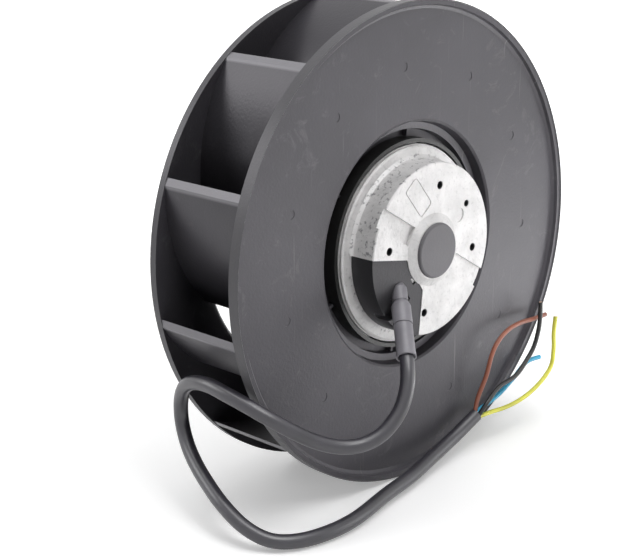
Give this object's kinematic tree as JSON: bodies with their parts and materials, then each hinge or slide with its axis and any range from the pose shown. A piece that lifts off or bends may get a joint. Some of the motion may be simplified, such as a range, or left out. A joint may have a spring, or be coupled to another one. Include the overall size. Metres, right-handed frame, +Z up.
{
  "type": "centrifugal plug fan",
  "caption": "Backward-curved centrifugal plug fan: closed plastic impeller on an external-rotor motor with a cast mounting flange, supply cable and bare leads.",
  "frame": {"origin": "centre of the motor flange's mounting face, on the fan's axis", "axes": "+Y along the axis from the motor flange into the fan, towards the inlet; +Z up as the fan stands in the picture; +X to the right seen from the motor side"},
  "size_m": [0.2236, 0.1085, 0.22],
  "materials": {
    "impeller_plastic": "satin",
    "black_steel": "satin",
    "laminations": "matte",
    "cast_aluminium": "cast",
    "bright_steel": "ground",
    "liner_plastic": "matte",
    "copper": "lacquered",
    "grey_plastic": "satin",
    "boot_rubber": "matte",
    "cable_jacket": "satin",
    "brown_insulation": "satin",
    "black_insulation": "satin",
    "blue_insulation": "satin",
    "earth_insulation": "satin"
  },
  "bodies": {
    "stator": {"motor_flange": "cast_aluminium", "bearing_outer_rings": "bright_steel", "preload_spring": "bright_steel", "stator_core": "laminations", "stator_liners": "liner_plastic", "stator_winding": "copper", "end_cap": "grey_plastic", "cable_cover": "grey_plastic", "cable_boot": "boot_rubber", "cable": "cable_jacket", "lead_brown": "brown_insulation", "lead_black": "black_insulation", "lead_blue": "blue_insulation", "lead_earth": "earth_insulation"},
    "rotor": {"rotor_can": "black_steel", "impeller_backplate": "impeller_plastic", "impeller_shroud": "impeller_plastic", "blade_1": "impeller_plastic", "blade_2": "impeller_plastic", "blade_3": "impeller_plastic", "blade_4": "impeller_plastic", "blade_5": "impeller_plastic", "blade_6": "impeller_plastic", "blade_7": "impeller_plastic", "blade_8": "impeller_plastic", "blade_9": "impeller_plastic", "blade_10": "impeller_plastic", "blade_11": "impeller_plastic", "rotor_core": "laminations", "rotor_cage": "cast_aluminium", "shaft": "bright_steel", "shaft_circlip": "bright_steel", "bearing_inner_rings": "bright_steel", "bearing_balls": "bright_steel"}
  },
  "joints": [
    {"name": "impeller_spin", "type": "hinge", "parent": "stator", "child": "rotor", "pos_m": [0, 0, 0], "axis": [0, 1, 0], "continuous": true}
  ]
}
